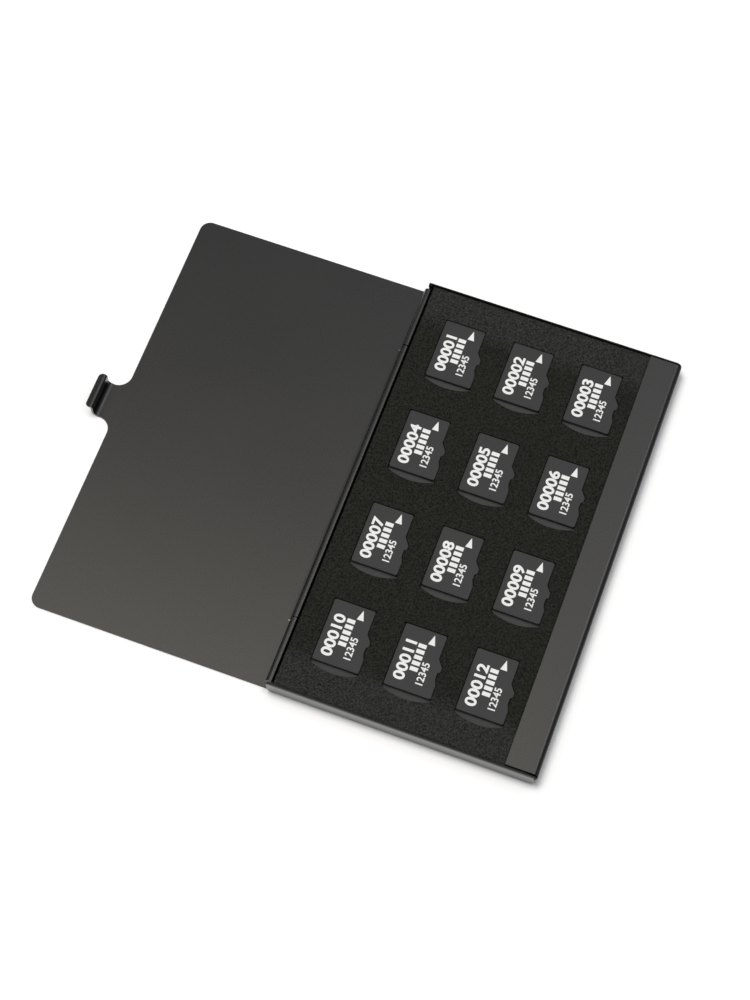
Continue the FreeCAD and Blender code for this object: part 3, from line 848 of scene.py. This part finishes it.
# The metal mirrors the three softboxes overhead. The key isn't mirrored and gives most of the shadow
SOFTBOXES = (
    Softbox("over_near", place=(-0.27, 0.03, 0.9), target=(-0.27, 0.03, 0), span=(0.66, 0.46), watts=1.25,
            colour=(1, 0.92, 0.76)),
    Softbox("over_far", place=(0.01, 0.44, 0.9), target=(0.01, 0.44, 0), span=(0.22, 0.305), watts=0.12),
    Softbox("over_front", place=(0.40, 0.225, 0.9), target=(0.40, 0.225, 0), span=(0.30, 0.65), watts=1.1),
    Softbox("key", place=(-0.28, 0.05, 1.04), target=(-0.03, 0, 0), span=(0.50, 0.36), watts=5.4,
            mirrored=False),
)


def hang_lamp(box):
    """Adds a softbox that faces its target and may be kept out of reflections."""
    light = bpy.data.lights.new(box.name, "AREA")
    light.shape = "RECTANGLE"
    light.size, light.size_y = box.span
    light.energy = box.watts
    light.color = box.colour
    made = placed(box.name, light)
    made.location = box.place
    made.rotation_euler = (Vector(box.target) - Vector(box.place)).to_track_quat("-Z", "Y").to_euler()
    made.visible_glossy = box.mirrored


def off_the_tray(shade):
    """0 at the tray's foot and 1 from the foot shade's width on: the length of max(|p| - half, 0). It fades
    the floor's extra light beside the tray, as painted contact shadow.
    """
    low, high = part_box("base_tray")
    middle, half = (low + high) / 2, (high - low) / 2
    away = shade.vector("SUBTRACT", shade.place(), middle)
    over = shade.vector("SUBTRACT", shade.vector("ABSOLUTE", away), half)
    beyond = shade.vector("MAXIMUM", over, (0, 0, 0))
    return shade.rise(shade.vector("LENGTH", beyond, output="Value"), 0, settings().stage.foot_shade)


def floor_lift(shade):
    """Extra light of the floor, for rays from the eye and more for mirrors and glass."""
    stage = settings().stage
    kinds = ("Is Camera Ray", "Is Glossy Ray", "Is Transmission Ray")
    camera, glossy, glass = (shade.node("ShaderNodeLightPath", output=kind) for kind in kinds)
    # Painted contact shadow: the extra light fades out beside the tray's walls.
    return off_the_tray(shade) * (camera * stage.floor_seen + (glossy + glass) * stage.floor_mirrored)


def make_world():
    """Lights the scene from all round, more from above than from the horizon."""
    stage = settings().stage
    world = bpy.data.worlds.new("studio")
    shade = fresh_nodes(world)
    ray = shade.node("ShaderNodeTexCoord", output="Generated")
    strength = stage.horizon + stage.zenith * shade.node("ShaderNodeClamp", {"Value": shade.axis(ray, "Z")})
    glow = shade.node("ShaderNodeBackground", {"Color": as_colour(stage.sky), "Strength": strength})
    shade.node("ShaderNodeOutputWorld", {"Surface": glow})
    bpy.context.scene.world = world


def make_floor():
    """Lays a pale floor that looks white where it is lit and keeps the case's shadow."""
    stage = settings().stage
    span = stage.floor_span
    mesh = bpy.data.meshes.new("floor")
    corners = [(-span, -span, 0), (span, -span, 0), (span, span, 0), (-span, span, 0)]
    mesh.from_pydata(corners, [], [(0, 1, 2, 3)])
    made = bpy.data.materials.new("pale_floor")
    shade = fresh_nodes(made)
    matt = shade.node("ShaderNodeBsdfDiffuse", {"Color": as_colour(stage.floor)})
    lift = shade.node("ShaderNodeEmission", {"Color": floor_lift(shade)})
    both = shade.node("ShaderNodeAddShader", {0: matt, 1: lift})
    shade.node("ShaderNodeOutputMaterial", {"Surface": both})
    mesh.materials.append(made)
    placed("floor", mesh)


def make_camera():
    """Sets up the photograph's view."""
    stage = settings().stage
    lens = bpy.data.cameras.new("photo_view")
    lens.sensor_fit = "VERTICAL"
    lens.sensor_height = SENSOR_HEIGHT
    lens.lens = stage.lens
    lens.clip_start = NEAREST
    eye = placed("photo_view", lens)
    eye.location = stage.eye
    eye.rotation_euler = Vector(stage.sight).to_track_quat("-Z", "Y").to_euler()
    bpy.context.scene.camera = eye


class CASE_OT_stage(bpy.types.Operator):
    """Sets up the floor, the lamps and the photograph's camera"""

    bl_idname = "case.stage"
    bl_label = "Stage"

    def execute(self, context):
        make_world()
        make_floor()
        for box in SOFTBOXES:
            hang_lamp(box)
        make_camera()
        context.scene.view_settings.view_transform = "Standard"
        return {"FINISHED"}


class CardCase(bpy.types.PropertyGroup):
    """Everything that a user would change."""

    finish: bpy.props.PointerProperty(type=CaseFinish, name="Finish", description="Colours and gloss")
    foam: bpy.props.PointerProperty(type=FoamSizes, name="Foam", description="Sizes of the die-cut foam")
    marks: bpy.props.PointerProperty(type=PrintSizes, name="Print", description="Sizes of the printed marks")
    stage: bpy.props.PointerProperty(type=StageSizes, name="Stage", description="Camera, floor and sky")


OPERATORS = (CASE_OT_metal, CASE_OT_pin, CASE_OT_foam, CASE_OT_cards, CASE_OT_stage)


class CASE_PT_panel(bpy.types.Panel):
    """Lists the steps that dress the case"""

    bl_label = "Card case"
    bl_idname = "CASE_PT_panel"
    bl_space_type = "VIEW_3D"
    bl_region_type = "UI"
    bl_category = "Card case"

    def draw(self, context):
        for step in OPERATORS:
            self.layout.operator(step.bl_idname)


CLASSES = (CaseFinish, FoamSizes, PrintSizes, StageSizes, CardCase, *OPERATORS, CASE_PT_panel)


def register():
    for item in CLASSES:
        bpy.utils.register_class(item)
    bpy.types.Scene.card_case = bpy.props.PointerProperty(type=CardCase)


def unregister():
    del bpy.types.Scene.card_case
    for item in reversed(CLASSES):
        bpy.utils.unregister_class(item)


def main():
    """Dresses the case step by step."""
    register()
    bpy.ops.case.metal()
    bpy.ops.case.pin()
    bpy.ops.case.foam()
    bpy.ops.case.cards()
    bpy.ops.case.stage()


if __name__ == "__main__":
    main()
